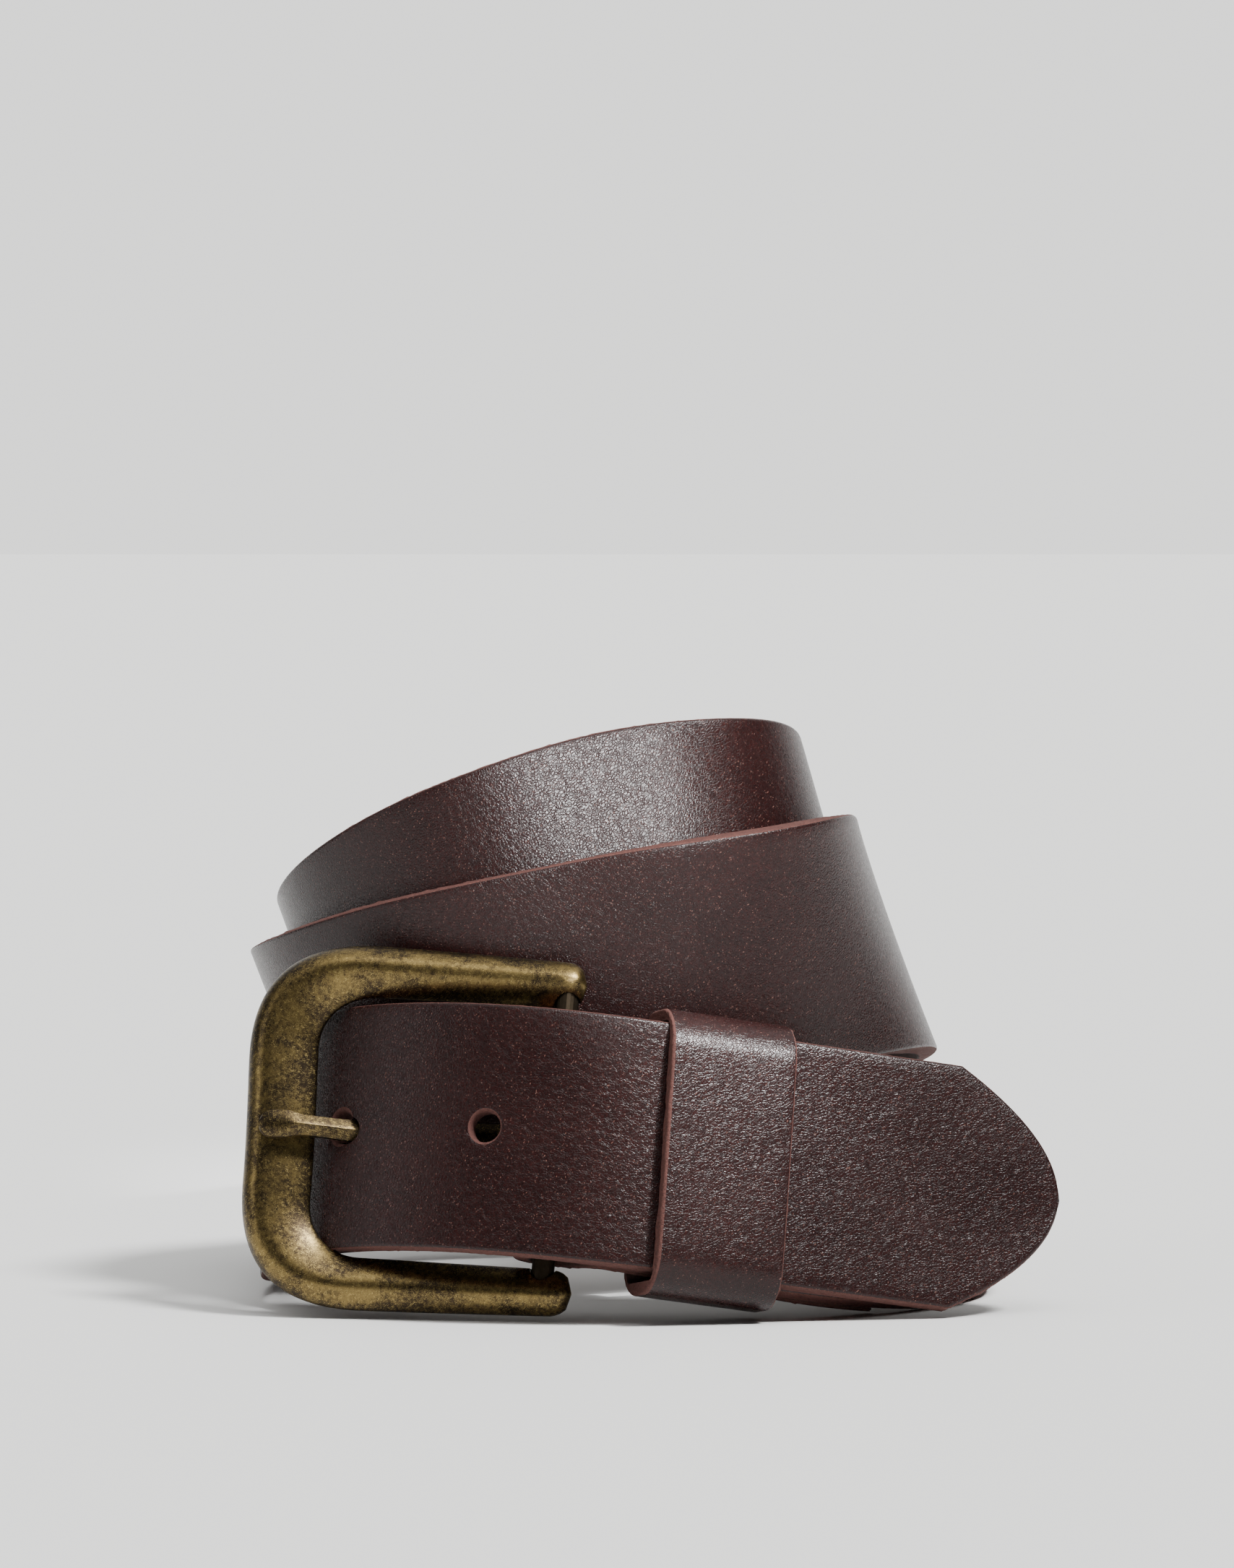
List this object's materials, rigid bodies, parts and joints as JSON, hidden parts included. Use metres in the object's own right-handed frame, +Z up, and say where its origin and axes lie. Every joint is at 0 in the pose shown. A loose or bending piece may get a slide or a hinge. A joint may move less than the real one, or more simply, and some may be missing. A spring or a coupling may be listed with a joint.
{
  "type": "leather belt",
  "caption": "Leather belt fastened through its pin buckle and wound into a standing coil, with a keeper loop and a rounded free end",
  "frame": {"origin": "bottom centre of the coil's bounding box, on the surface the coil stands on", "axes": "+Z up, the fastened buckle faces -Y, the free end points towards +X"},
  "size_m": [0.126, 0.1312, 0.0905],
  "materials": {
    "strap_leather": "fine pebbled grain, satin sheen, raw reddish-brown edges",
    "antique_brass": "antiqued, dark in the hollows and rubbed bright on the edges",
    "steel": "plain drawn wire"
  },
  "bodies": {
    "strap": {"strap": "strap_leather", "screw_post_lower": "antique_brass", "screw_post_upper": "antique_brass", "screw_lower": "antique_brass", "screw_upper": "antique_brass"},
    "buckle": {"buckle_frame": "antique_brass", "buckle_bar": "antique_brass"},
    "prong": {"prong": "antique_brass"},
    "keeper": {"keeper_loop": "strap_leather", "keeper_staple": "steel"},
    "strap_tip": {"strap_tip": "strap_leather"}
  },
  "joints": [
    {"name": "buckle_pivot", "type": "hinge", "parent": "strap", "child": "buckle", "pos_m": [-0.0142, -0.04766, 0.02743], "axis": [0.0885, 0.2513, 0.9639], "range_deg": [0, 1.2]},
    {"name": "prong_pivot", "type": "hinge", "parent": "buckle", "child": "prong", "pos_m": [-0.0142, -0.04766, 0.02743], "axis": [0.0885, 0.2513, 0.9639], "range_deg": [0, 1.2]},
    {"name": "keeper_slide", "type": "slide", "parent": "strap", "child": "keeper", "axis": [-0.9454, -0.2852, 0.1579], "range_m": [0, 0.003]},
    {"name": "tip_flex", "type": "hinge", "parent": "strap", "child": "strap_tip", "pos_m": [0.0261, -0.04871, 0.02275], "axis": [-0.0702, -0.2947, -0.953], "range_deg": [-3, 20], "stiffness_Nm_per_rad": 0.3}
  ]
}
